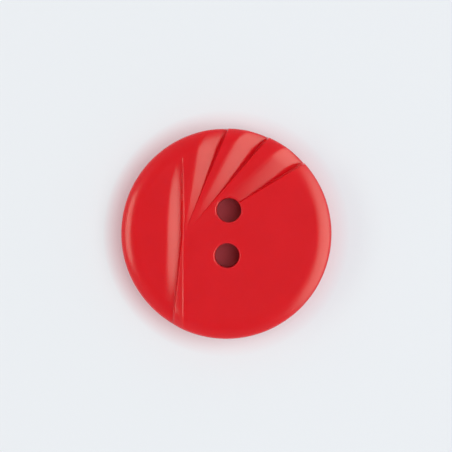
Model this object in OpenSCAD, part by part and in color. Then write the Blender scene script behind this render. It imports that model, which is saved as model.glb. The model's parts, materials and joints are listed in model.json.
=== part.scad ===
// Two-hole sewing button with a carved face: a fan of folds that opens from one point,
// beside an upright fold with a rolled edge.
// The back lies on z = 0, the face looks up, and the fan opens towards +Y.

/* [Disc] */
// Diameter of the button
disc_d = 20; // [18:0.5:30]
// Thickness from the back to the flat of the face
disc_t = 4; // [3.2:0.1:6]
// Width of the rounded shoulder, from the flat of the face to the rim
shoulder_w = 1.7; // [1:0.1:2.2]
// Radius of the shoulder's arc
shoulder_r = 2.8; // [2.5:0.1:5]
// Radius of the small round between the shoulder and the side
rim_edge_r = 0.4; // [0.1:0.05:0.5]
// Radius of the rounded edge of the back
back_edge_r = 0.8; // [0.3:0.1:1.2]

/* [Thread holes] */
// Diameter of a thread hole
hole_d = 2.3; // [1.5:0.1:2.8]
// Distance between the middles of the two holes
hole_spacing = 4.3; // [3.5:0.1:5.5]
// Lean of the line through the holes, clockwise from +Y
hole_lean = 2.2; // [0:0.1:10]
// Shift of the pair of holes to the right of the button's middle
hole_shift = 0.16; // [0:0.02:0.4]
// Shift of the pair of holes towards +Y
hole_raise = 0.08; // [0:0.02:0.4]
// Width and depth of the rounded lip round a hole
lip_w = 0.3; // [0.1:0.05:0.5]

/* [Fan of grooves] */
// Distance from the middle of the button to the fan's level, towards -Y
fan_low = 0.26; // [0:0.02:1]
// Distance from the upright fold's edge to the point where the grooves start
fan_gap = 0.1; // [0.05:0.05:0.5]
// Number of grooves
groove_count = 3; // [1:1:3]
// Lean of the first groove's valley, clockwise from +Y
groove_first = 22; // [15:0.1:25]
// Angle from one groove's valley to the next
groove_pitch = 18.1; // [16:0.1:22]
// Fall of a valley on its way to the rim, in degrees
groove_fall = 4.6; // [3:0.2:6]
// Tilt of the first groove's broad left side, in degrees
groove_broad = 19.5; // [18:0.5:26]
// How much steeper the broad side is from one groove to the next, in degrees
groove_broad_step = 2; // [0:0.5:3]
// Tilt of a groove's steep right side, in degrees
groove_steep = 74; // [50:1:78]

/* [Upright fold] */
// Distance from the middle of the button to the fold's straight edge, towards -X
fold_edge_x = 4.2; // [3.6:0.1:5]
// Tilt of the wall below that edge, in degrees
fold_wall = 66; // [45:1:70]
// Radius of the rolled edge that comes down to the wall from the left
roll_r = 4.2; // [3.6:0.1:8]
// Width from the start of the roll to the fold's edge, where it is widest
roll_w = 1.8; // [1.5:0.1:3]
// Radius of the bow that the start of the roll follows across the face
roll_bow_r = 36; // [30:1:60]
// Distance from the middle of the button to the widest place of the roll, towards +Y
roll_high = 0.6; // [-1:0.1:2]
// Tilt of the left panel below the fan's level, in degrees
panel_fall = 3; // [2:0.2:6]
// Tilt of the laid-back wall below the fan's level, in degrees
skirt_tilt = 16.5; // [14:0.5:30]
// Angle between the foot of the laid-back wall and the fold's edge
skirt_lean = 6.5; // [5:0.5:12]
// Tilt of the foot itself, in degrees
skirt_foot = 70; // [60:1:80]

/* [Hidden] */

$fn = 96;
polyester_red = "#d42229";
disc_r = disc_d / 2;
flat_r = disc_r - shoulder_w;
hole_r = hole_d / 2;
// Arcs that round an edge are a little larger than the corner they fill, so that they meet
// the flats at a slight angle.
round_up = 1.02;
// How far a cutter reaches past the surface that it opens.
past = 2;
// Angle of the slight crease where the roll leaves the flat, in degrees.
roll_crease = 3;
// Heights of the middles of the shoulder's arc and of the rim's small round.
shoulder_z = disc_t - shoulder_r;
rim_edge_z = shoulder_z
    + sqrt(pow(shoulder_r - rim_edge_r / round_up, 2) - pow(shoulder_w - rim_edge_r, 2));
fan_x = -fold_edge_x + fan_gap;
fan_y = -fan_low;
// Fall of the foot's line, which lets the laid-back wall meet the face along the fold's edge.
skirt_fall = atan(sin(skirt_lean) * tan(skirt_tilt));

// Half section of the plain disc, from its axis to its rim.
module disc_section() {
    intersection() {
        union() {
            square([flat_r, disc_t]);
            translate([flat_r, shoulder_z])
                circle(r = shoulder_r);
        }
        union() {
            translate([0, back_edge_r])
                square([disc_r, rim_edge_z - back_edge_r]);
            square([disc_r - back_edge_r, rim_edge_z]);
            translate([disc_r - back_edge_r, back_edge_r])
                circle(r = back_edge_r);
            square([disc_r - rim_edge_r, disc_t]);
            translate([disc_r - rim_edge_r, rim_edge_z])
                circle(r = rim_edge_r);
        }
    }
}

// Half section of the material that a rounded lip takes away at a hole's mouth.
module lip_section() {
    difference() {
        square([hole_r + lip_w, lip_w + past]);
        translate([hole_r + lip_w, 0])
            circle(r = lip_w * round_up);
    }
}

// One thread hole, with rounded lips on the face and on the back.
module thread_hole() {
    translate([0, 0, -past])
        cylinder(r = hole_r, h = disc_t + 2 * past);
    translate([0, 0, disc_t - lip_w])
        rotate_extrude()
            lip_section();
    translate([0, 0, lip_w])
        mirror([0, 0, 1])
            rotate_extrude()
                lip_section();
}

// A straight prism that runs away from the fan's level: its ridge line starts at [x, y] on the
// face, leans clockwise from +Y, and falls. Its section stands across that line.
module falling_prism(x, y, lean, fall, length) {
    translate([x, y, disc_t])
        rotate([0, 0, -lean])
            rotate([-fall, 0, 0])
                translate([0, -past, 0])
                    rotate([-90, 0, 0])
                        linear_extrude(length + past)
                            mirror([0, 1, 0])
                                children();
}

// One groove of the fan: a V with a broad left side and a steep right side.
module fan_groove(lean, broad) {
    falling_prism(fan_x, fan_y, lean, groove_fall, disc_d)
        polygon([
            [0, 0],
            [past / tan(groove_steep), past],
            [-past / tan(broad), past],
        ]);
}

// Space over the rolled edge, which bows across the face.
module over_roll() {
    roll_z = disc_t - roll_r * cos(roll_crease);
    start_r = roll_bow_r + roll_r * sin(roll_crease);
    translate([-fold_edge_x - roll_w + roll_bow_r, roll_high, 0])
        rotate_extrude($fn = 360)
            difference() {
                translate([roll_bow_r - roll_w - past, disc_t - past])
                    square([roll_w + past, 2 * past]);
                translate([start_r, roll_z])
                    circle(r = roll_r);
            }
}

// Space over the left panel, which falls away below the fan's level.
module over_panel() {
    translate([-disc_d, fan_y, disc_t])
        rotate([panel_fall, 0, 0])
            translate([0, -disc_d, 0])
                cube([disc_d, disc_d, past]);
}

// Space to the left of the fold's wall.
module left_of_wall() {
    translate([-fold_edge_x, -disc_d, disc_t])
        rotate([0, 90 - fold_wall, 0])
            translate([-disc_d, 0, -past])
                cube([disc_d, 2 * disc_d, 2 * past]);
}

// The laid-back wall below the fan's level, which widens towards the rim.
module skirt() {
    falling_prism(-fold_edge_x, fan_y, 180 + skirt_lean, skirt_fall, disc_d)
        polygon([
            [0, 0],
            [past / tan(skirt_foot), -past],
            [-disc_r, -past],
            [-disc_r, disc_r * tan(skirt_tilt)],
        ]);
}

// What the upright fold takes away.
module fold_cut() {
    difference() {
        intersection() {
            left_of_wall();
            union() {
                over_roll();
                over_panel();
            }
        }
        skirt();
    }
}

module button() {
    color(polyester_red)
        difference() {
            rotate_extrude()
                disc_section();
            fold_cut();
            for (i = [0 : groove_count - 1])
                fan_groove(groove_first + i * groove_pitch, groove_broad + i * groove_broad_step);
            translate([hole_shift, hole_raise, 0])
                rotate([0, 0, -hole_lean])
                    for (side = [-1, 1])
                        translate([0, side * hole_spacing / 2, 0])
                            thread_hole();
        }
}

button();
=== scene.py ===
# %% [markdown]
# # A carved sewing button
# The object is one piece of cast polyester: a round red button with two thread holes. Its face is
# carved with a fan of shallow grooves that open from one point, beside an upright fold with a rolled
# edge. This lesson builds its fine surface with Geometry Nodes, gives it a polished finish, and lights
# it with three soft boxes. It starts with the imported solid, which fixes the main sizes and places.

# %% Load the frame
import json
import math

import bpy
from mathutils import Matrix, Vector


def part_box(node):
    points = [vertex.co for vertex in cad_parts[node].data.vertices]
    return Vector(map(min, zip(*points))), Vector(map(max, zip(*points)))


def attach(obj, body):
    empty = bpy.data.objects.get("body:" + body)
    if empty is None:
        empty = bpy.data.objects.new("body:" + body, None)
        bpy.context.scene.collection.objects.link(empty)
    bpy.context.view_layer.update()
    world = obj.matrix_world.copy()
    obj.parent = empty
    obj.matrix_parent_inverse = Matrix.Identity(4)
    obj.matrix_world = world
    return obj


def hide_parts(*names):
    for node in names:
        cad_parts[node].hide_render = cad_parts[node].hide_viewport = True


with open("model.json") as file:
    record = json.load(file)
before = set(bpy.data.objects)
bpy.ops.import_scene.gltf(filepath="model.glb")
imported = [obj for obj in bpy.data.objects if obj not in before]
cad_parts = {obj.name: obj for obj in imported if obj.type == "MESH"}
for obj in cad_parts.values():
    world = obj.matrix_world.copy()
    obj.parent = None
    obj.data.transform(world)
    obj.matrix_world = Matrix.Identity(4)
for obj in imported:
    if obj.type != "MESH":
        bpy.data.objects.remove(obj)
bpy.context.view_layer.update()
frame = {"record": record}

MM = 0.001

# %% [markdown]
# ## The sizes
# The disc and the thread holes are read from the solid and its record, so that they can't drift away
# from it. The carving has sizes of its own. They could stand as bare numbers in the rule that carves
# the face, but they are kept here in millimetres and angles, because the Geometry Nodes tree below
# gets each of them as a named input.

# %% Sizes from the frame
button_low, button_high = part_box("button")
disc_r = (button_high.x - button_low.x) / 2 / MM
disc_t = (button_high.z - button_low.z) / MM
bores = [mount for mount in frame["record"]["mounts"] if mount["kind"] == "bore"]
hole_r = bores[0]["dims"]["r_mm"]
hole_places = [tuple(place / MM for place in bore["pos_m"][:2]) for bore in bores]
hole_places.sort(key=lambda place: place[1])
print("radius", round(disc_r, 3), "and thickness", round(disc_t, 3))
print("holes at", hole_places, "of radius", hole_r)

# %% Sizes of the disc
sizes = {
    "Disc radius": disc_r,
    "Disc thickness": disc_t,
    "Shoulder width": 1.7,
    "Shoulder radius": 2.8,
    "Rim edge radius": 0.46,
    "Back edge radius": 0.8,
    "Hole radius": hole_r,
    "Lip width": 0.2,
}
print(len(sizes), "sizes of the disc")

# %% [markdown]
# The grooves lean away from the upright, one pitch after the other, and fall towards the rim. Each later
# groove starts further out, and its broad side is steeper. A straightness of 0 would let a groove bend
# down with the shoulder, and 1 would keep it straight out to the rim.

# %% Sizes of the fan
GROOVES = 3
fan_sizes = {
    "Fan X": -4.1,
    "Fan Y": -0.26,
    "First groove": math.radians(22.0),
    "Groove pitch": math.radians(18.1),
    "Groove growth": 9.5,
    "Growth power": 0.4,
    "Growth power step": 0.1,
    "Groove delay": 0.8,
    "Groove straightness": 0.28,
    "Groove fall": math.radians(4.6),
    "Broad side": math.radians(20.0),
    "Broad growth": math.radians(2.0),
    "Steep side": math.radians(76),
}
sizes.update(fan_sizes)
print(len(fan_sizes), "sizes of the fan")

# %% [markdown]
# The upright fold has a rolled edge on its left, a straight wall on its right, and a skirt below the fan,
# which is the same wall laid back.

# %% Sizes of the upright fold
fold_sizes = {
    "Fold edge": -4.12,
    "Fold wall": math.radians(66),
    "Roll width": 1.64,
    "Roll depth": 0.47,
    "Roll middle": 0.6,
    "Roll reach": 8.6,
    "Roll taper": 0.8,
    "Roll fall": 0.65,
    "Roll lean": math.radians(3.4),
    "Panel fall": math.radians(3.0),
    "Skirt tilt": math.radians(16.5),
    "Skirt lean": math.radians(6.3),
    "Skirt foot": math.radians(70),
}
sizes.update(fold_sizes)
print(len(fold_sizes), "sizes of the fold")

# %% [markdown]
# Tumbling rounds every edge a little. The two softnesses of a groove's edges grow with the distance from
# the fan, and the rounding of the fold's upper edge is a share of the wall's height there. The others
# are lengths.

# %% Softness of edges and valleys
softnesses = {
    "Broad edge softness": 0.018,
    "Steep edge softness": 0.006,
    "Valley softness": 0.05,
    "Fold edge softness": 0.25,
    "Upper edge rounding": 1.6,
    "Upper edge growth": 2.0,
    "Fold valley softness": 0.08,
    "Foot softness": 0.02,
    "Roll edge softness": 0.02,
    "Panel softness": 0.3,
}
sizes.update(softnesses)
print(len(sizes), "named sizes in all")

# %% [markdown]
# ## Arithmetic with nodes
# The face follows a rule: every point of it has one height, which is that of the plain disc less the
# depth of the carving there. Such a rule is a long chain of Math nodes. Placing each one by hand would
# hide the rule, so a small class lets plain arithmetic in the script add the nodes.

# %% A number that runs through a node tree
class Wire:
    """A number in a node tree. Arithmetic on it adds Math nodes."""

    def __init__(self, tree, socket):
        self.tree = tree
        self.socket = socket

    def math(self, operation, *others):
        """Adds one Math node, with this number as its first input."""
        node = self.tree.nodes.new("ShaderNodeMath")
        node.operation = operation
        for place, value in zip(node.inputs, (self, *others)):
            if isinstance(value, Wire):
                self.tree.links.new(value.socket, place)
            else:
                place.default_value = value
        return Wire(self.tree, node.outputs[0])

    def __add__(self, other):
        return self.math("ADD", other)

    def __sub__(self, other):
        return self.math("SUBTRACT", other)

    def __mul__(self, other):
        return self.math("MULTIPLY", other)

    def __truediv__(self, other):
        return self.math("DIVIDE", other)

    def __rsub__(self, other):
        return self * -1.0 + other

    __radd__ = __add__
    __rmul__ = __mul__

    def __getattr__(self, name):
        """sine, cosine, tangent, sqrt, minimum and the like are Math nodes of that name."""
        return lambda *others: self.math(name.upper(), *others)


print("a Wire adds Math nodes")

# %% Ramps
def stretch(wire, start, end, low=0.0, high=1.0):
    """Runs from low to high while the wire runs from start to end, and stays there outside."""
    node = wire.tree.nodes.new("ShaderNodeMapRange")
    wire.tree.links.new(wire.socket, node.inputs["Value"])
    for name, value in (("From Min", start), ("From Max", end), ("To Min", low), ("To Max", high)):
        node.inputs[name].default_value = value
    return Wire(wire.tree, node.outputs["Result"])


def clamp(wire):
    """Keeps a number between 0 and 1."""
    return wire.maximum(0.0).minimum(1.0)


def smooth_ramp(wire, start, end):
    """Rises from 0 to 1 between start and end, without a kink at either."""
    share = clamp((wire - start) / (end - start))
    return share * share * (3.0 - share * 2.0)


print("ramps are straight or smooth")

# %% [markdown]
# ## The tree and its inputs
# One tree makes the whole button. Its inputs carry the sizes above by name, so that the rule can be
# tried with other sizes in Blender's own panel.

# %% Make the tree
tree = bpy.data.node_groups.new("carved_button", "GeometryNodeTree")
tree.interface.new_socket("Geometry", in_out="INPUT", socket_type="NodeSocketGeometry")
tree.interface.new_socket("Geometry", in_out="OUTPUT", socket_type="NodeSocketGeometry")
for name in sizes:
    tree.interface.new_socket(name, in_out="INPUT", socket_type="NodeSocketFloat")
for name in ("First hole", "Hole to hole"):
    tree.interface.new_socket(name, in_out="INPUT", socket_type="NodeSocketVector")
tree.interface.new_socket("Finish", in_out="INPUT", socket_type="NodeSocketMaterial")
group_in = tree.nodes.new("NodeGroupInput")
group_out = tree.nodes.new("NodeGroupOutput")
size = {name: Wire(tree, group_in.outputs[name]) for name in sizes}
print("tree with", len(tree.interface.items_tree), "sockets")

# %% Helpers for nodes
def add_node(tree, kind, **inputs):
    """Adds a node and fills its inputs by name, with values, sockets or wires."""
    node = tree.nodes.new(kind)
    for name, value in inputs.items():
        place = node.inputs[name.replace("_", " ")]
        value = value.socket if isinstance(value, Wire) else value
        if isinstance(value, bpy.types.NodeSocket):
            tree.links.new(value, place)
        else:
            place.default_value = value
    return node


def axes_of(tree, vector):
    """The three coordinates of a vector, as wires."""
    split = add_node(tree, "ShaderNodeSeparateXYZ", Vector=vector)
    return [Wire(tree, out) for out in split.outputs]


def point(x, y, z):
    """One vector from three wires."""
    return add_node(tree, "ShaderNodeCombineXYZ", X=x, Y=y, Z=z).outputs[0]


def position():
    """The place of each point of the mesh that a node works on."""
    return add_node(tree, "GeometryNodeInputPosition").outputs[0]


print("nodes are added by kind, with their inputs by name")

# %% [markdown]
# ## The plain disc
# Before it is carved, the face is flat out to the shoulder, which bends down to the rim as one arc. A
# turned profile could give that shape, but the carving needs the height at any point of the face, so it
# is written as a rule of the distance from the axis.

# %% Height of the shoulder
def shoulder_height(distance):
    """Height of the plain face at a distance from the button's axis."""
    past_flat = (distance - (size["Disc radius"] - size["Shoulder width"])).maximum(0.0)
    arc = (size["Shoulder radius"] * size["Shoulder radius"] - past_flat * past_flat).sqrt()
    return size["Disc thickness"] - size["Shoulder radius"] + arc


print("shoulder of", sizes["Shoulder width"], "mm")

# %% [markdown]
# ## The fan of grooves
# A cutter left three V grooves that start at one point. Each grows out of the flat, quickly at first and
# then slowly, and sinks on its way to the rim. Its broad left side catches the light and its steep right
# side stays dark. A smooth maximum of the two sides is the V, with a valley that is a little rounded. The
# steep side keeps a sharper edge than the broad one.

# %% One groove
def fan_groove(number, over_x, over_y, rounding):
    """How far a groove's surface lies above a flat face (less than 0 inside it), and its softness."""
    lean = size["First groove"] + size["Groove pitch"] * float(number)
    along = over_x * lean.sine() + over_y * lean.cosine()
    across = over_x * lean.cosine() - over_y * lean.sine()
    floor = along * size["Groove fall"].tangent() * -1.0
    broad_tilt = size["Broad side"] + size["Broad growth"] * float(number)
    broad = floor - across * broad_tilt.tangent()
    steep = floor + across * size["Steep side"].tangent()
    start = size["Groove delay"] * float(number * number)
    share = clamp((along - start) / size["Groove growth"])
    grown = share.power(size["Growth power"] + size["Growth power step"] * float(number))
    section = broad.smooth_max(steep, size["Valley softness"] * rounding)
    softer = (size["Steep edge softness"] - size["Broad edge softness"]) * across.greater_than(0.0)
    softness = (size["Broad edge softness"] + softer) * along.maximum(0.0)
    return section * grown, softness


print(GROOVES, "grooves start at", sizes["Fan X"], sizes["Fan Y"])

# %% [markdown]
# ## The upright fold
# To the left of the fan the face rolls down to a straight wall, like cloth that is tucked under a pleat.
# The roll has an S-shaped section. It is deepest near its middle and runs out towards both ends, and
# it gets narrower towards the top. Below the fan the left panel falls away, and the wall lies back like a
# skirt with a leaning foot. Each of these is one height, and the fold is the higher of its two sides.

# %% The rolled edge
LEAST_ROLL = 0.25


def below_fan(y, slope):
    """Grows from 0 at about the fan's level downwards, at a slope that is given as an angle."""
    return ((size["Fan Y"] - y) * slope.tangent()).smooth_max(0.0, size["Panel softness"])


def roll_drop(x, y):
    """How far the rolled edge has bent down, most at its middle and less towards its two ends."""
    end = size["Fold edge"] - below_fan(y, size["Roll lean"])
    away = (y - size["Roll middle"]) / size["Roll reach"]
    above = away.maximum(0.0) * away.maximum(0.0)
    width = size["Roll width"] * (1.0 - size["Roll taper"] * above).maximum(LEAST_ROLL)
    depth = size["Roll depth"] * (1.0 - away * away - size["Roll fall"] * above).maximum(0.0)
    return depth * smooth_ramp(x, end - width, end)


print("roll of", sizes["Roll width"], "mm, down to", sizes["Roll depth"], "mm")

# %% The wall and the skirt
def wall_height(x):
    """The fold's straight wall."""
    return size["Disc thickness"] + (x - size["Fold edge"]) * size["Fold wall"].tangent()


def skirt_height(x, y, softness):
    """The laid-back wall below the fan, down to its leaning foot."""
    over_x = x - size["Fold edge"]
    over_y = y - size["Fan Y"]
    lean = size["Skirt lean"]
    along = 0.0 - over_x * lean.sine() - over_y * lean.cosine()
    aside = over_y * lean.sine() - over_x * lean.cosine()
    lay = size["Disc thickness"] + over_x * size["Skirt tilt"].tangent()
    fall = lean.sine() * size["Skirt tilt"].tangent()
    foot = size["Disc thickness"] - along * fall - aside * size["Skirt foot"].tangent()
    return lay.smooth_min(foot, softness)


print("wall at", sizes["Fold edge"], "mm")

# %% The whole fold
def upright_fold(x, y, rounding):
    """Height of the fold's surface, and the softness of its edge, which is rounder above the fan."""
    top = size["Disc thickness"]
    left = top - roll_drop(x, y) - below_fan(y, size["Panel fall"])
    skirt = skirt_height(x, y, size["Foot softness"] * rounding)
    right = wall_height(x).smooth_max(skirt, size["Valley softness"] * rounding)
    upper = smooth_ramp(y, size["Fan Y"], size["Fan Y"] + size["Upper edge growth"])
    rounder = (top - left) * size["Upper edge rounding"] - size["Fold edge softness"]
    edge_softness = size["Fold edge softness"] + rounder * upper
    softer = (edge_softness - size["Roll edge softness"]) * right.greater_than(left)
    fold = left.smooth_max(right, size["Fold valley softness"] * rounding)
    return fold, size["Roll edge softness"] + softer


print("the fold joins a roll, a wall and a skirt")

# %% [markdown]
# ## The carving as one rule
# Cutting solids out of the disc would leave sharp edges that have to be bevelled later. Here smooth
# minimum and smooth maximum join the surfaces, and that rounds every edge and valley as the polishing
# drum does on the real button. The rule carves a flat face, and the depth that it finds is taken off the
# shoulder too, so that the fold bends down with the rim and the grooves do so in part.

# %% Depth of the carving
def carved_depth(x, y, rounding):
    """How deep the cuts go. A rounding of 1 softens the edges, and 0 leaves them sharp."""
    top = size["Disc thickness"]
    over_x = x - size["Fan X"]
    over_y = y - size["Fan Y"]
    lift = (top - shoulder_height((x * x + y * y).sqrt())) * size["Groove straightness"]
    carved = top
    for number in range(GROOVES):
        groove, softness = fan_groove(number, over_x, over_y, rounding)
        carved = carved.smooth_min(top + lift + groove, softness * rounding)
    fold, softness = upright_fold(x, y, rounding)
    return top - carved.smooth_min(fold, softness * rounding)


print("the rule has", GROOVES, "grooves and one fold")

# %% [markdown]
# ## A skin that starts at the fan
# An even grid would need a great many faces to keep the grooves crisp. A round grid with its pole at the
# fan's point has its spokes along the grooves, so their edges stay straight with few faces. The
# spokes stand close together near each edge and wide apart on the flats. The rows run from the fan out to
# the rim, round the edge, down the side and in to the middle of the back, so one sheet closes the button.

# %% Spokes
# A sector is an angle in degrees, clockwise from +Y, and the number of spokes on the way there.
UPPER_SECTORS = [(-30, 0), (-8, 24), (2, 44)]
LOWER_SECTORS = [(172, 96), (202, 70), (330, 110)]
EDGE_MARGIN = 1.0
VALLEY_MARGIN = 0.8
FLAT_SPOKES = 8
EDGE_SPOKES = 12
BROAD_SPOKES = 14
STEEP_SPOKES = 36


def spoke_sectors():
    """All sectors, once round from the upper end of the fold."""
    fall = math.tan(sizes["Groove fall"])
    sectors = list(UPPER_SECTORS)
    for number in range(GROOVES):
        valley = math.degrees(sizes["First groove"] + number * sizes["Groove pitch"])
        broad_tilt = sizes["Broad side"] + number * sizes["Broad growth"]
        broad_edge = valley - math.degrees(math.asin(fall / math.tan(broad_tilt)))
        steep_edge = valley + math.degrees(math.asin(fall / math.tan(sizes["Steep side"])))
        sectors += [
            (broad_edge - EDGE_MARGIN, FLAT_SPOKES),
            (broad_edge + EDGE_MARGIN, EDGE_SPOKES),
            (valley - VALLEY_MARGIN, BROAD_SPOKES),
            (steep_edge + VALLEY_MARGIN, STEEP_SPOKES),
        ]
    return sectors + LOWER_SECTORS


SECTORS = spoke_sectors()
spoke_count = sum(count for _, count in SECTORS)
print(spoke_count, "spokes in", len(SECTORS) - 1, "sectors")

# %% [markdown]
# ## Wrapping the grid
# A flat grid is the start. Its first coordinate becomes the angle round the fan, its second the row. Each
# stretch of rows has its own share of the outline: the face goes straight out from the fan to the
# rim, and after that an arc, a line and another arc lead to the back.

# %% A grid and its shares
GRID_MIDDLE = 0.5
ROWS = {"face": 104, "rim edge": 9, "side": 5, "back edge": 9, "back": 6}


def flat_grid(columns, rows):
    """A flat grid with sides of 1, about the origin."""
    sides = {"Size_X": 1.0, "Size_Y": 1.0}
    grid = add_node(tree, "GeometryNodeMeshGrid", Vertices_X=columns + 1, Vertices_Y=rows + 1, **sides)
    return grid.outputs["Mesh"]


def shares(wire, counts):
    """One wire for each stretch: it goes from 0 to 1 while the run passes through that stretch."""
    total = sum(counts)
    found = []
    start = 0
    for count in counts:
        found.append(stretch(wire, start / total, (start + count) / total))
        start += count
    return found


row_count = sum(ROWS.values())
grid_mesh = flat_grid(spoke_count, row_count)
print("grid of", spoke_count, "by", row_count, "faces")

# %% Angle of each spoke
grid_x, grid_y, _ = axes_of(tree, position())
spoke_counts = [count for _, count in SECTORS[1:]]
angle = math.radians(SECTORS[0][0])
for share, before, after in zip(shares(grid_x + GRID_MIDDLE, spoke_counts), SECTORS, SECTORS[1:]):
    angle = angle + share * math.radians(after[0] - before[0])
print("spokes turn from", SECTORS[0][0], "to", SECTORS[-1][0], "degrees")

# %% Outline of the button
QUARTER_TURN = math.pi / 2
face, rim_edge, side, back_edge, back = shares(grid_y + GRID_MIDDLE, list(ROWS.values()))
edge_r = size["Rim edge radius"]
back_r = size["Back edge radius"]
lean_in = (size["Shoulder width"] - edge_r) / (size["Shoulder radius"] - edge_r)
edge_start = lean_in.arcsine()
face_r = size["Disc radius"] - edge_r + edge_r * lean_in
edge_z = shoulder_height(face_r) - edge_r * edge_start.cosine()
edge_turn = edge_start + (QUARTER_TURN - edge_start) * rim_edge
back_turn = back_edge * QUARTER_TURN
outline_r = (
    face_r + edge_r * (edge_turn.sine() - lean_in)
    - back_r * (1.0 - back_turn.cosine())
    - (size["Disc radius"] - back_r) * back
)
outline_z = (
    edge_z + edge_r * edge_turn.cosine()
    - (edge_z - back_r) * side
    - back_r * back_turn.sine()
)
print("the outline has", len(ROWS), "stretches")

# %% Place every point of the skin
out_x = angle.sine()
out_y = angle.cosine()
lead = size["Fan X"] * out_x + size["Fan Y"] * out_y
fan_square = size["Fan X"] * size["Fan X"] + size["Fan Y"] * size["Fan Y"]
reach = (lead * lead + face_r * face_r - fan_square).sqrt() - lead
spread = outline_r / face_r
skin_x = (size["Fan X"] + out_x * reach * face) * spread
skin_y = (size["Fan Y"] + out_y * reach * face) * spread
axis_distance = (skin_x * skin_x + skin_y * skin_y).sqrt()
past_face = rim_edge.greater_than(0.0)
plain_z = shoulder_height(axis_distance) * (1.0 - past_face) + outline_z * past_face
above_back = 1.0 - side
skin_depth = carved_depth(skin_x, skin_y, 1.0) * above_back
sharp_depth = carved_depth(skin_x, skin_y, 0.0) * above_back
skin_place = point(skin_x, skin_y, plain_z - skin_depth)
print("skin rule has", len(tree.nodes), "nodes")

# %% [markdown]
# The difference between the sharp rule and the rounded one says how much the polishing took off an
# edge, or how much a valley was left filled. It is kept as an attribute of the mesh while the grid is
# still flat, and the finish reads it later. Then the grid is wrapped, and its seam and poles are merged.

# %% Wrap the grid
MERGE_DISTANCE = 2e-5
marked = add_node(tree, "GeometryNodeStoreNamedAttribute", Geometry=grid_mesh, Name="rounding")
marked.data_type = "FLOAT"
tree.links.new((skin_depth - sharp_depth).socket, marked.inputs["Value"])


def place_and_merge(mesh, place):
    """Moves every point of a mesh to its place, and merges those that meet."""
    placed = add_node(tree, "GeometryNodeSetPosition", Geometry=mesh, Position=place)
    merged = add_node(
        tree, "GeometryNodeMergeByDistance", Geometry=placed.outputs[0], Distance=MERGE_DISTANCE,
    )
    return merged.outputs[0]


skin = place_and_merge(marked.outputs[0], skin_place)
print("the skin merges points closer than", MERGE_DISTANCE, "mm")

# %% [markdown]
# ## The thread holes
# Each hole is drilled through, and its mouth is rounded on both sides so that it doesn't cut the thread.
# A plain cylinder would leave a sharp mouth. So the drill is a tube with flared ends, made from the same
# kind of grid. It is placed on both hole points as an instance, and its flare follows the carved face,
# because one groove runs over the upper hole.

# %% Place a grid for each drill
DRILL_ROWS = {"cap": 1, "clear": 2, "lip": 12, "bore": 8, "back lip": 10, "back clear": 2, "back cap": 1}
DRILL_SPOKES = 96
drill_mesh = flat_grid(DRILL_SPOKES, sum(DRILL_ROWS.values()))
kept = add_node(tree, "GeometryNodeCaptureAttribute", Geometry=drill_mesh)
kept.capture_items.new("VECTOR", "Flat place")
tree.links.new(position(), kept.inputs["Flat place"])
hole_line = add_node(
    tree, "GeometryNodeMeshLine", Count=2,
    Start_Location=group_in.outputs["First hole"], Offset=group_in.outputs["Hole to hole"],
)
both = add_node(
    tree, "GeometryNodeInstanceOnPoints",
    Points=hole_line.outputs[0], Instance=kept.outputs["Geometry"],
)
drills = add_node(tree, "GeometryNodeRealizeInstances", Geometry=both.outputs[0])
print("two drills of", DRILL_SPOKES, "sides")

# %% Radius of the drills
flat_x, flat_y, _ = axes_of(tree, kept.outputs["Flat place"])
drill_x, drill_y, _ = axes_of(tree, position())
drill_shares = shares(flat_y + GRID_MIDDLE, list(DRILL_ROWS.values()))
cap, clear, lip, bore, back_lip, back_clear, back_cap = drill_shares
drill_angle = flat_x * math.tau
lip_turn = lip * QUARTER_TURN
back_lip_turn = back_lip * QUARTER_TURN
lip_w = size["Lip width"]
flare_r = size["Hole radius"] + lip_w
back_flare = lip_w * (1.0 - back_lip_turn.cosine())
drill_r = flare_r * (cap - back_cap) - lip_w * lip_turn.sine() + back_flare
place_x = drill_x - flat_x + drill_r * drill_angle.sine()
place_y = drill_y - flat_y + drill_r * drill_angle.cosine()
print("lips of", sizes["Lip width"], "mm")

# %% Height of the drills
CLEARANCE = 1.0
OVERSHOOT = 0.01
place_r = (place_x * place_x + place_y * place_y).sqrt()
mouth_z = shoulder_height(place_r) - carved_depth(place_x, place_y, 1.0) + OVERSHOOT
bore_length = mouth_z + OVERSHOOT - lip_w * 2.0
place_z = (
    mouth_z + (1.0 - clear) * CLEARANCE - lip_w * (1.0 - lip_turn.cosine())
    - bore_length * bore - lip_w * back_lip_turn.sine() - back_clear * CLEARANCE
)
drill = place_and_merge(drills.outputs[0], point(place_x, place_y, place_z))
print("the drills follow the face with", len(tree.nodes), "nodes in the tree")

# %% [markdown]
# ## Drilling and finishing the tree
# A boolean takes the drills out of the skin. The tree worked in millimetres, so the last step scales the
# button to metres. Realize Instances and Set Material close the tree, because an exported mesh keeps
# neither instances nor a finish that only the modifier knows.

# %% Drill, shade and scale
drilled = tree.nodes.new("GeometryNodeMeshBoolean")
drilled.operation = "DIFFERENCE"
drilled.solver = "EXACT"
tree.links.new(skin, drilled.inputs["Mesh 1"])
tree.links.new(drill, drilled.inputs["Mesh 2"])
smooth = add_node(tree, "GeometryNodeSetShadeSmooth", Geometry=drilled.outputs["Mesh"])
metres = add_node(tree, "GeometryNodeTransform", Geometry=smooth.outputs[0], Scale=(MM, MM, MM))
whole = add_node(tree, "GeometryNodeRealizeInstances", Geometry=metres.outputs[0])
finished = add_node(
    tree, "GeometryNodeSetMaterial",
    Geometry=whole.outputs[0], Material=group_in.outputs["Finish"],
)
tree.links.new(finished.outputs[0], group_out.inputs[0])
print("tree complete with", len(tree.nodes), "nodes")

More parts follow.
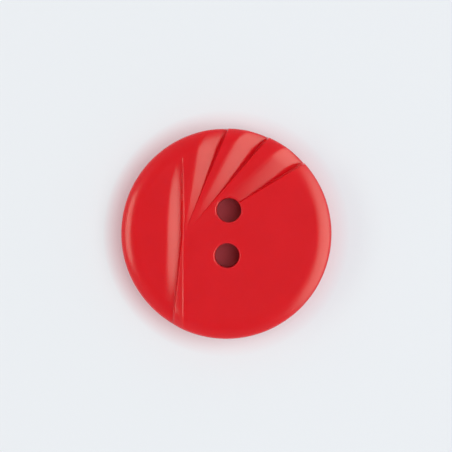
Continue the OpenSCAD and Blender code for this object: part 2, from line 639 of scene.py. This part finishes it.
# %% [markdown]
# ## The finish
# Polyester buttons are cast, carved and then tumbled with a wax until they shine. The colour goes
# through the whole piece. Up close it isn't quite even: the dye is a little cloudy and the edges are
# rubbed paler. The valleys also get a painted shade, a darker red where the grooves lie in shade. One
# colour with a painted mask could show that, but masks that come from nodes stay sharp at any distance.
# A cloudiness group is made first, because the dye, the gloss, the bumps and the floor all use it.

# %% A group for cloudy colour
NOISE_LOW = 0.3
NOISE_HIGH = 0.7


def new_group(name, inputs, outputs):
    """A shader node group with named numbers. Gives the tree, its input node and its output node."""
    group = bpy.data.node_groups.new(name, "ShaderNodeTree")
    for in_out, names in (("INPUT", inputs), ("OUTPUT", outputs)):
        for socket in names:
            group.interface.new_socket(socket, in_out=in_out, socket_type="NodeSocketFloat")
    return group, group.nodes.new("NodeGroupInput"), group.nodes.new("NodeGroupOutput")


cloud, cloud_in, cloud_out = new_group("cloudiness", ("Scale", "Detail", "Low", "High"), ("Value",))
cloud_coords = add_node(cloud, "ShaderNodeTexCoord")
cloud_noise = add_node(
    cloud, "ShaderNodeTexNoise", Vector=cloud_coords.outputs["Object"],
    Scale=cloud_in.outputs["Scale"], Detail=cloud_in.outputs["Detail"],
)
cloud_range = add_node(
    cloud, "ShaderNodeMapRange", Value=cloud_noise.outputs["Fac"],
    From_Min=NOISE_LOW, From_Max=NOISE_HIGH,
    To_Min=cloud_in.outputs["Low"], To_Max=cloud_in.outputs["High"],
)
cloud.links.new(cloud_range.outputs["Result"], cloud_out.inputs["Value"])
print("cloudiness group has", len(cloud.nodes), "nodes")

# %% A group for rubbed edges and for valleys with painted shade
wear_and_shade, wear_and_shade_in, wear_and_shade_out = new_group("tumbling_wear_and_valley_shade", ("Edge depth", "Valley depth"), ("Edge", "Valley"))
rounding = add_node(wear_and_shade, "ShaderNodeAttribute")
rounding.attribute_name = "rounding"
taken_off = Wire(wear_and_shade, rounding.outputs["Fac"])
edge_mask = clamp(taken_off / Wire(wear_and_shade, wear_and_shade_in.outputs["Edge depth"]))
# The valley mask says where the finish paints a darker shade into the grooves.
valley_mask = clamp(0.0 - taken_off / Wire(wear_and_shade, wear_and_shade_in.outputs["Valley depth"]))
wear_and_shade.links.new(edge_mask.socket, wear_and_shade_out.inputs["Edge"])
wear_and_shade.links.new(valley_mask.socket, wear_and_shade_out.inputs["Valley"])
print("wear group has", len(wear_and_shade.nodes), "nodes")

# %% Helpers for materials
def place_group(tree, group, settings):
    """Places a node group and fills its inputs."""
    node = tree.nodes.new("ShaderNodeGroup")
    node.node_tree = group
    for name, value in settings.items():
        node.inputs[name].default_value = value
    return node


def clouds(tree, settings):
    """The cloudiness group with its own settings, as a wire."""
    return Wire(tree, place_group(tree, cloud, settings).outputs["Value"])


def mix_colours(tree, factor, first, second):
    """A colour that goes from the first to the second with the factor."""
    node = tree.nodes.new("ShaderNodeMix")
    node.data_type = "RGBA"
    places = [place for place in node.inputs if place.enabled]
    for place, value in zip(places, (factor, first, second)):
        if isinstance(value, Wire):
            tree.links.new(value.socket, place)
        else:
            place.default_value = value
    return Wire(tree, next(out for out in node.outputs if out.enabled))


print("groups can be placed, and colours mixed")

# %% [markdown]
# The finish itself mixes four reds with these masks, and the darkest of them is painted shade in the
# valleys. Its gloss is that of hard plastic, a little uneven from the tumbling. Two bumps are very low on
# purpose: the faint waviness of a cast surface and the finest rub marks. Red light travels a little way
# inside the plastic, so narrow shadows in the grooves stay red. Subsurface gives that, and it costs less
# than glass with a colour inside.

# %% Values of the polished red
RED = (0.67, 0.0054, 0.0120, 1)
CLOUDY_RED = (0.64, 0.0046, 0.0105, 1)
RUBBED_RED = (0.72, 0.045, 0.045, 1)
# The darker valley red is painted shade for the grooves' valleys, mixed in by the valley share below.
PAINTED_VALLEY_SHADE = (0.45, 0.006, 0.01, 1)
DYE_CLOUDS = {"Scale": 260.0, "Detail": 3.0, "Low": 0.0, "High": 1.0}
GLOSS_CLOUDS = {"Scale": 900.0, "Detail": 4.0, "Low": 0.17, "High": 0.23}
CAST_WAVES = {"Scale": 420.0, "Detail": 1.0, "Low": 0.0, "High": 1.0}
RUB_MARKS = {"Scale": 6000.0, "Detail": 2.0, "Low": 0.0, "High": 1.0}
WEAR_AND_SHADE_DEPTHS = {"Edge depth": 0.06, "Valley depth": 0.03}
RUBBED_SHARE = 0.3
VALLEY_SHADE_SHARE = 0.25
EDGE_DULLNESS = 0.06
VALLEY_DULLNESS = 0.1
RUB_HEIGHT = 0.1
BUMP_STRENGTH = 0.3
BUMP_DISTANCE = 0.00001
POLYESTER_IOR = 1.52
INNER_LIGHT = 0.8
INNER_REACH = 0.002
INNER_REACH_BY_COLOUR = (1.0, 0.15, 0.1)
print("gloss between", GLOSS_CLOUDS["Low"], "and", GLOSS_CLOUDS["High"])

# %% The polished red
def polished_polyester():
    """Red polyester, carved and tumbled, with painted shade darkening its valleys."""
    material = bpy.data.materials.new("polished_polyester")
    material.use_nodes = True
    nodes = material.node_tree
    shader = nodes.nodes["Principled BSDF"]
    worn_and_shaded = place_group(nodes, wear_and_shade, WEAR_AND_SHADE_DEPTHS)
    edge = Wire(nodes, worn_and_shaded.outputs["Edge"])
    valley = Wire(nodes, worn_and_shaded.outputs["Valley"])
    colour = mix_colours(nodes, clouds(nodes, DYE_CLOUDS), RED, CLOUDY_RED)
    colour = mix_colours(nodes, edge * RUBBED_SHARE, colour, RUBBED_RED)
    # Painted shade: the valleys are mixed towards the darker red.
    colour = mix_colours(nodes, valley * VALLEY_SHADE_SHARE, colour, PAINTED_VALLEY_SHADE)
    nodes.links.new(colour.socket, shader.inputs["Base Color"])
    roughness = clouds(nodes, GLOSS_CLOUDS) + edge * EDGE_DULLNESS + valley * VALLEY_DULLNESS
    nodes.links.new(roughness.socket, shader.inputs["Roughness"])
    height = clouds(nodes, CAST_WAVES) + clouds(nodes, RUB_MARKS) * RUB_HEIGHT
    bump = add_node(
        nodes, "ShaderNodeBump", Strength=BUMP_STRENGTH, Distance=BUMP_DISTANCE, Height=height,
    )
    nodes.links.new(bump.outputs["Normal"], shader.inputs["Normal"])
    shader.inputs["IOR"].default_value = POLYESTER_IOR
    shader.inputs["Subsurface Weight"].default_value = INNER_LIGHT
    shader.inputs["Subsurface Radius"].default_value = INNER_REACH_BY_COLOUR
    shader.inputs["Subsurface Scale"].default_value = INNER_REACH
    return material


polyester = polished_polyester()
print("finish", polyester.name, "has", len(polyester.node_tree.nodes), "nodes")

# %% [markdown]
# ## Making the piece
# The tree is put on an empty object as a modifier, and its inputs are set by their identifiers. The
# evaluated result becomes a plain mesh, and the modifier goes. The piece then takes the place of the
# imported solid, which stays for the physics.

# %% Evaluate the tree
button = bpy.data.objects.new("carved_button", bpy.data.meshes.new("carved_button"))
bpy.context.collection.objects.link(button)
modifier = button.modifiers.new("carving", "NODES")
modifier.node_group = tree
first_hole, second_hole = hole_places
inputs = dict(sizes)
inputs["First hole"] = (*first_hole, 0.0)
inputs["Hole to hole"] = (second_hole[0] - first_hole[0], second_hole[1] - first_hole[1], 0.0)
inputs["Finish"] = polyester
for item in tree.interface.items_tree:
    if item.in_out == "INPUT" and item.name in inputs:
        modifier[item.identifier] = inputs[item.name]
evaluated = button.evaluated_get(bpy.context.evaluated_depsgraph_get())
mesh = bpy.data.meshes.new_from_object(evaluated)
button.modifiers.clear()
button.data = mesh
mesh.calc_loop_triangles()
print("button of", len(mesh.vertices), "points and", len(mesh.loop_triangles), "triangles")

# %% Put it in the solid's place
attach(button, "root")
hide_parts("button")
print("the carved button stands for the solid")

# %% [markdown]
# ## The floor
# The button lies on plain pale paper. Close to the button the paper is a real surface, so it gets the
# shadow. Further away the camera only sees its even colour, which keeps the background plain. Red plastic
# lets some light through, and that tints the paper beside it, most on the left, where the shadow falls.
# Right under the button the paper lies in red shade, and it shows only through the thread holes. Light
# that really travels through the plastic would show both, but it needs very many samples, so the paper's
# own colour has them.

# %% Values of the paper
PAPER = (0.77, 0.81, 0.845, 1)
SHADED_PAPER = (0.55, 0.10, 0.12, 1)
TINTED_PAPER = (0.74, 0.20, 0.24, 1)
BACKDROP = (0.84, 0.863, 0.896, 1)
PAPER_CLOUDS = {"Scale": 40.0, "Detail": 2.0, "Low": 0.0, "High": 1.0}
PAPER_CLOUDINESS = 0.1
TINT_REACH = 2.0
TINT_ALL_ROUND = 0.4
LEAST_EVEN = 0.35
EVEN_FROM = 0.05
BACKGROUND_RAYS = ("Is Camera Ray", "Is Glossy Ray", "Is Transmission Ray")
rim_distance = disc_r * MM
print("the tint ends", TINT_REACH, "mm from the rim")

# %% Pale paper
def paper_colour(nodes, place, distance, outside):
    """Pale paper, tinted beside the button and in red shade under it."""
    colour = mix_colours(nodes, clouds(nodes, PAPER_CLOUDS) * PAPER_CLOUDINESS, PAPER, BACKDROP)
    leftward = stretch(axes_of(nodes, place)[0], 0.0, -rim_distance, TINT_ALL_ROUND, 1.0)
    near = stretch(distance, rim_distance, rim_distance + TINT_REACH * MM, 1.0, 0.0)
    colour = mix_colours(nodes, near * leftward, colour, TINTED_PAPER)
    return mix_colours(nodes, outside, SHADED_PAPER, colour)


def pale_paper():
    """Matt paper that turns into an even backdrop away from the button."""
    material = bpy.data.materials.new("pale_paper")
    material.use_nodes = True
    nodes = material.node_tree
    nodes.nodes.remove(nodes.nodes["Principled BSDF"])
    place = add_node(nodes, "ShaderNodeTexCoord").outputs["Object"]
    away = add_node(nodes, "ShaderNodeVectorMath", Vector=place)
    away.operation = "LENGTH"
    distance = Wire(nodes, away.outputs["Value"])
    outside = distance.greater_than(rim_distance - sizes["Back edge radius"] * MM)
    far = stretch(distance, rim_distance, EVEN_FROM, LEAST_EVEN, 1.0) * outside
    light_path = nodes.nodes.new("ShaderNodeLightPath")
    from_camera, from_gloss, from_glass = [Wire(nodes, light_path.outputs[ray]) for ray in BACKGROUND_RAYS]
    seen = from_camera.maximum(from_gloss).maximum(from_glass)
    colour = paper_colour(nodes, place, distance, outside)
    paper = add_node(nodes, "ShaderNodeBsdfDiffuse", Color=colour)
    even = add_node(nodes, "ShaderNodeEmission", Color=BACKDROP)
    mixed = add_node(nodes, "ShaderNodeMixShader", Fac=far * seen)
    nodes.links.new(paper.outputs[0], mixed.inputs[1])
    nodes.links.new(even.outputs[0], mixed.inputs[2])
    nodes.links.new(mixed.outputs[0], nodes.nodes["Material Output"].inputs["Surface"])
    return material


pale = pale_paper()
print("paper", pale.name, "has", len(pale.node_tree.nodes), "nodes")

# %% Lay the floor
FLOOR_HALF = 2.0
FLOOR_Z = -0.00002
floor_mesh = bpy.data.meshes.new("floor")
corner_signs = ((-1, -1), (1, -1), (1, 1), (-1, 1))
corners = [(x * FLOOR_HALF, y * FLOOR_HALF, FLOOR_Z) for x, y in corner_signs]
floor_mesh.from_pydata(corners, [], [range(len(corners))])
floor_mesh.materials.append(pale)
floor = bpy.data.objects.new("floor", floor_mesh)
bpy.context.collection.objects.link(floor)
print("floor of", 2 * FLOOR_HALF, "m")

# %% [markdown]
# ## The light
# The face is polished, so what it shows is mostly what surrounds it. A large warm soft box stands on the
# right and a smaller one on the left, and nothing bright shows overhead. The flat of the face then keeps
# its own red, and only what leans to the right or to the left picks up a light. One lamp could do all
# that, but a low one throws long shadows into the grooves. So the right box gives only gloss, and a third
# box, high on the right, gives the colour and the shadow and doesn't show in the polish.

# %% Soft boxes
from mathutils import Vector

BOX_REACH = 0.5
WARM = (1.0, 0.97, 0.80)
WHITE = (1.0, 1.0, 1.0)


def soft_box(name, side, off_vertical, turn, width, height, radiance, colour):
    """An area light that looks at the button. The side is 1 for right and -1 for left."""
    lamp = bpy.data.lights.new(name, "AREA")
    lamp.shape = "RECTANGLE"
    lamp.size = width
    lamp.size_y = height
    lamp.energy = radiance * math.pi * width * height
    lamp.color = colour
    box = bpy.data.objects.new(name, lamp)
    out = math.sin(off_vertical)
    towards = Vector((side * out * math.cos(turn), out * math.sin(turn), math.cos(off_vertical)))
    box.location = towards * BOX_REACH
    box.rotation_euler = towards.to_track_quat("Z", "Y").to_euler()
    box.visible_camera = False
    bpy.context.collection.objects.link(box)
    return box


right_box = soft_box(
    "right_soft_box", side=1, off_vertical=math.radians(50), turn=math.radians(-3),
    width=0.8, height=0.6, radiance=3.1, colour=WARM,
)
left_box = soft_box(
    "left_soft_box", side=-1, off_vertical=math.radians(45), turn=0.0,
    width=0.32, height=0.2, radiance=3.3, colour=WARM,
)
key_box = soft_box(
    "key_soft_box", side=1, off_vertical=math.radians(19), turn=math.radians(-3),
    width=0.4, height=0.4, radiance=3.7, colour=WHITE,
)
right_box.visible_diffuse = False
key_box.visible_glossy = False
for box in (right_box, left_box, key_box):
    print(box.name, [round(place, 3) for place in box.location], round(box.data.energy, 2), "W")

# %% [markdown]
# An even box would show in the polish as a patch with a hard edge. A real soft box is dimmer away from
# its tube, so the two side boxes fade. Heights and widths on a box are shares of its distance. The fade
# at the top can bend down at the sides, and the foot is dimmer so that a low view isn't dazzled.

# %% Fade the side boxes
LAMP_MIDDLE = 0.5
FOOT_FROM = -0.55
FOOT_FADE = 0.3


def fade_box(box, slope, dark, bright, lift, side_fall):
    """Dims a soft box from bright up to dark, bent by the slope, and towards its sides and its foot."""
    lamp = box.data
    lamp.use_nodes = True
    nodes = lamp.node_tree
    across, along, _ = axes_of(nodes, add_node(nodes, "ShaderNodeNewGeometry").outputs["Parametric"])
    aside = ((across - LAMP_MIDDLE) * (lamp.size / BOX_REACH)).absolute()
    up = (along - LAMP_MIDDLE) * (lamp.size_y / BOX_REACH)
    top_fade = stretch(up + aside * slope, dark, bright) * (1.0 - up * lift)
    foot_fade = stretch(up, FOOT_FROM, FOOT_FROM + FOOT_FADE)
    level = top_fade * (1.0 - aside * aside * side_fall) * foot_fade
    nodes.links.new(level.socket, nodes.nodes["Emission"].inputs["Strength"])


fade_box(right_box, slope=0.55, dark=0.70, bright=0.36, lift=0.5, side_fall=0.9)
fade_box(left_box, slope=0.3, dark=0.22, bright=0.07, lift=0.3, side_fall=0.0)
print("the side boxes fade over", FOOT_FADE, "of their distance at the foot")

# %% [markdown]
# The world is dim overhead and grows pale towards the horizon, as a room with white walls does. The rim
# and the steep sides of the folds pick that up. At the horizon it has the backdrop's own colour, so that a
# low view shows no line where the floor ends.

# %% World
SKY_DIM = (0.22, 0.22, 0.225, 1)
WALLS = (0.55, 0.56, 0.58, 1)
HORIZON_BELOW = 0.05
PALE_BELOW = 0.35
DIM_ABOVE = 0.85


def studio_world():
    """A world that is pale at the horizon and dim overhead."""
    world = bpy.data.worlds.new("studio")
    world.use_nodes = True
    nodes = world.node_tree
    direction = add_node(nodes, "ShaderNodeTexCoord").outputs["Generated"]
    height = axes_of(nodes, direction)[2]
    walls = mix_colours(nodes, stretch(height, HORIZON_BELOW, PALE_BELOW), BACKDROP, WALLS)
    colour = mix_colours(nodes, stretch(height, PALE_BELOW, DIM_ABOVE), walls, SKY_DIM)
    nodes.links.new(colour.socket, nodes.nodes["Background"].inputs["Color"])
    return world


bpy.context.scene.world = studio_world()
bpy.context.scene.view_settings.view_transform = "Standard"
print("world", bpy.context.scene.world.name)

# %% [markdown]
# ## The camera
# The camera looks straight down. A long lens keeps the side of the button out of sight, so its outline is
# the round of the rim. The button lies a little below the middle of the picture.

# %% Camera
FRAME_WIDTH = 0.0427
LENS = 120.0
SENSOR = 36.0
CLIP_START = 0.001
CAMERA_X = -0.00003
CAMERA_Y = 0.00073
camera_data = bpy.data.cameras.new("camera")
camera_data.lens = LENS
camera_data.sensor_width = SENSOR
camera_data.clip_start = CLIP_START
camera = bpy.data.objects.new("camera", camera_data)
camera.location = (CAMERA_X, CAMERA_Y, disc_t * MM + FRAME_WIDTH * LENS / SENSOR)
bpy.context.collection.objects.link(camera)
bpy.context.scene.camera = camera
print("camera", round(camera.location.z, 4), "m up")

# %% [markdown]
# ## Closing
# The view layer is updated last.

# %% Update the view layer
bpy.context.view_layer.update()
